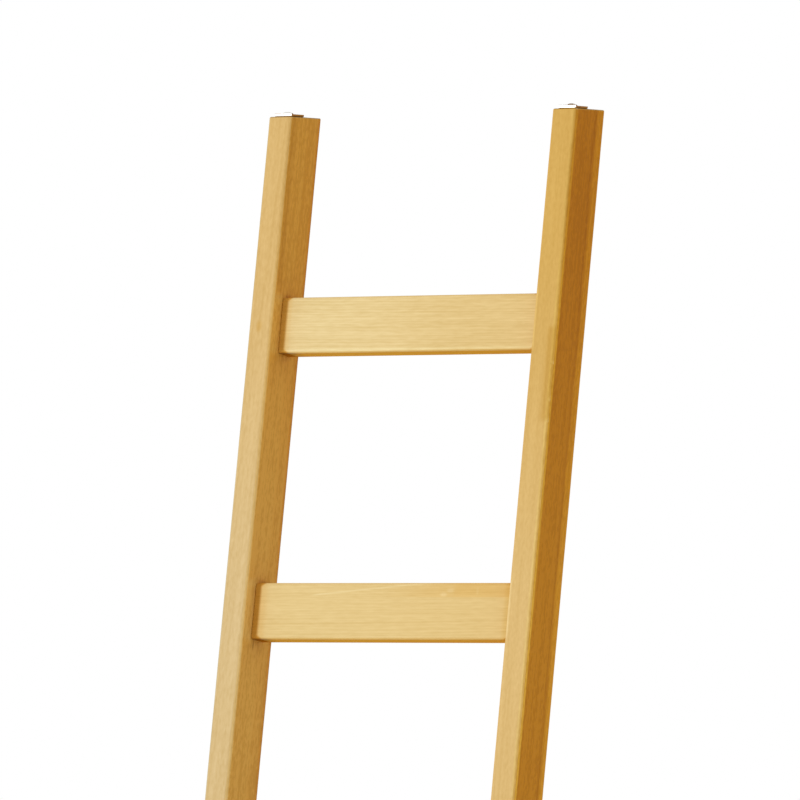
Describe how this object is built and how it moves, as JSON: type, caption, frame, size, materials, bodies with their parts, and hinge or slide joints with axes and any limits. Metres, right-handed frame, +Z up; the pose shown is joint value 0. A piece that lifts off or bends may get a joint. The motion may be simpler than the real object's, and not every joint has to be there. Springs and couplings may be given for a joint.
{
  "type": "leaning wooden ladder",
  "caption": "Leaning wooden bookcase ladder: flat rails and rungs joined by blind dowels, level-cut rail ends, a small steel plate on each rail top and a grooved rubber pad under each foot.",
  "frame": {"origin": "on the floor under the middle of the ladder's bounding box", "axes": "+Z up, +X to the right as the climber faces the ladder, the climber's side faces -Y and the ladder leans back towards +Y"},
  "size_m": [0.38, 0.3538, 1.717],
  "materials": {
    "rail_wood": "honey-coloured solid wood, satin clear lacquer",
    "rung_wood": "paler solid wood, satin clear lacquer",
    "dowel_wood": "unfinished hardwood, fluted",
    "plate_steel": "bright zinc-plated steel",
    "screw_steel": "bright zinc-plated steel",
    "pad_rubber": "matt black moulded rubber"
  },
  "bodies": {
    "root": {"rail_left": "rail_wood", "rail_right": "rail_wood", "rung_1": "rung_wood", "rung_2": "rung_wood", "rung_3": "rung_wood", "rung_4": "rung_wood", "rung_5": "rung_wood", "dowel_1_left_lower": "dowel_wood", "dowel_1_left_upper": "dowel_wood", "dowel_1_right_lower": "dowel_wood", "dowel_1_right_upper": "dowel_wood", "dowel_2_left_lower": "dowel_wood", "dowel_2_left_upper": "dowel_wood", "dowel_2_right_lower": "dowel_wood", "dowel_2_right_upper": "dowel_wood", "dowel_3_left_lower": "dowel_wood", "dowel_3_left_upper": "dowel_wood", "dowel_3_right_lower": "dowel_wood", "dowel_3_right_upper": "dowel_wood", "dowel_4_left_lower": "dowel_wood", "dowel_4_left_upper": "dowel_wood", "dowel_4_right_lower": "dowel_wood", "dowel_4_right_upper": "dowel_wood", "dowel_5_left_lower": "dowel_wood", "dowel_5_left_upper": "dowel_wood", "dowel_5_right_lower": "dowel_wood", "dowel_5_right_upper": "dowel_wood", "top_plate_left": "plate_steel", "top_plate_right": "plate_steel", "top_plate_screw_left": "screw_steel", "top_plate_screw_right": "screw_steel", "foot_pad_left": "pad_rubber", "foot_pad_right": "pad_rubber", "foot_screw_left_front": "screw_steel", "foot_screw_left_back": "screw_steel", "foot_screw_right_front": "screw_steel", "foot_screw_right_back": "screw_steel"}
  },
  "joints": []
}
